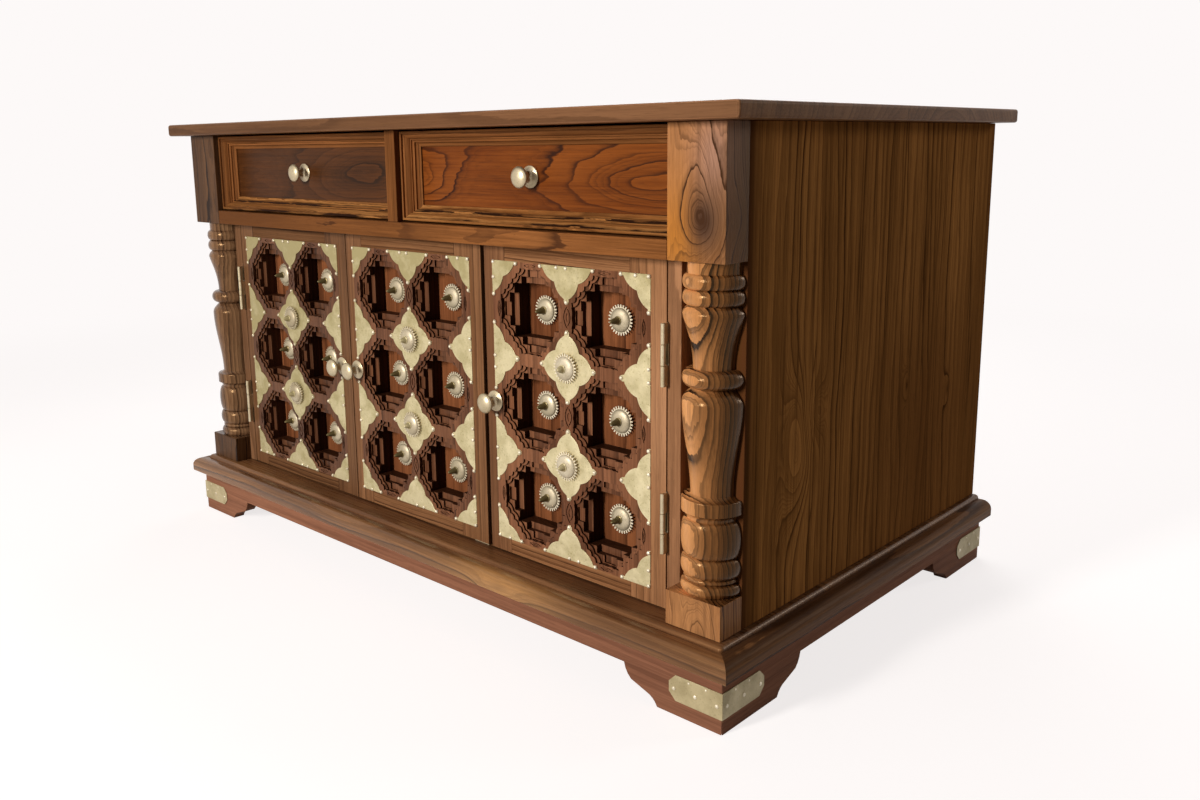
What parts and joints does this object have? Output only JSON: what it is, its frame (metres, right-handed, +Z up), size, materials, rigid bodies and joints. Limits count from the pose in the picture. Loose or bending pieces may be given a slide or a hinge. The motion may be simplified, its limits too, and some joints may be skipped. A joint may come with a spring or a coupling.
{
  "type": "chest of drawers",
  "caption": "Low carved hardwood sideboard with drawers over panelled doors, turned corner columns, bracket feet, and brass plates and studs round stepped niches.",
  "frame": {"origin": "on the floor under the middle of the overall box", "axes": "+X to the right along the front, +Y to the back, +Z up; the doors face -Y"},
  "size_m": [1.219, 0.7312, 0.71],
  "materials": {
    "teak": "glossy lacquered, orange-brown figured grain",
    "teak_side": "satin, dark straight vertical grain",
    "teak_door": "satin, red-brown, carved",
    "teak_inner": "unlacquered boards",
    "brass": "pale, lightly hammered and polished"
  },
  "bodies": {
    "carcass": {"top_board": "teak", "left_side_panel": "teak_side", "right_side_panel": "teak_side", "back_panel": "teak_inner", "base_board": "teak", "front_base_moulding": "teak", "left_base_moulding": "teak", "right_base_moulding": "teak", "front_plinth": "teak", "back_plinth": "teak", "left_plinth": "teak", "right_plinth": "teak", "front_left_foot_strap": "brass", "front_right_foot_strap": "brass", "back_left_foot_strap": "brass", "back_right_foot_strap": "brass", "left_corner_post": "teak", "right_corner_post": "teak", "left_stile": "teak", "right_stile": "teak", "drawer_rail": "teak", "drawer_muntin": "teak", "drawer_divider": "teak_inner", "drawer_deck": "teak_inner", "left_drawer_guide": "teak_inner", "right_drawer_guide": "teak_inner", "inner_partition": "teak_inner", "left_door_upper_hinge_frame_leaf": "brass", "left_door_lower_hinge_frame_leaf": "brass", "right_door_upper_hinge_frame_leaf": "brass", "right_door_lower_hinge_frame_leaf": "brass", "middle_door_lower_pivot": "brass", "middle_door_upper_pivot": "brass"},
    "left_drawer": {"left_drawer_front": "teak", "left_drawer_moulding": "teak", "left_drawer_left_side": "teak_inner", "left_drawer_right_side": "teak_inner", "left_drawer_back": "teak_inner", "left_drawer_bottom": "teak_inner", "left_drawer_knob": "brass"},
    "right_drawer": {"right_drawer_front": "teak", "right_drawer_moulding": "teak", "right_drawer_left_side": "teak_inner", "right_drawer_right_side": "teak_inner", "right_drawer_back": "teak_inner", "right_drawer_bottom": "teak_inner", "right_drawer_knob": "brass"},
    "left_door": {"left_door_panel": "teak_door", "left_door_back_board": "teak_door", "left_door_knob": "brass", "left_door_upper_hinge_door_leaf": "brass", "left_door_lower_hinge_door_leaf": "brass"},
    "middle_door": {"middle_door_panel": "teak_door", "middle_door_back_board": "teak_door", "middle_door_knob": "brass"},
    "right_door": {"right_door_panel": "teak_door", "right_door_back_board": "teak_door", "right_door_knob": "brass", "right_door_upper_hinge_door_leaf": "brass", "right_door_lower_hinge_door_leaf": "brass"}
  },
  "joints": [
    {"name": "left_drawer_slide", "type": "slide", "parent": "carcass", "child": "left_drawer", "axis": [0, -1, 0], "range_m": [0, 0.42]},
    {"name": "right_drawer_slide", "type": "slide", "parent": "carcass", "child": "right_drawer", "axis": [0, -1, 0], "range_m": [0, 0.42]},
    {"name": "left_door_swing", "type": "hinge", "parent": "carcass", "child": "left_door", "pos_m": [-0.4774, -0.3144, 0.3209], "axis": [0, 0, -1], "range_deg": [0, 110]},
    {"name": "middle_door_swing", "type": "hinge", "parent": "carcass", "child": "middle_door", "pos_m": [0.14697, -0.2989, 0.3209], "axis": [0, 0, 1], "range_deg": [0, 90]},
    {"name": "right_door_swing", "type": "hinge", "parent": "carcass", "child": "right_door", "pos_m": [0.4774, -0.3144, 0.3209], "axis": [0, 0, 1], "range_deg": [0, 110]}
  ]
}
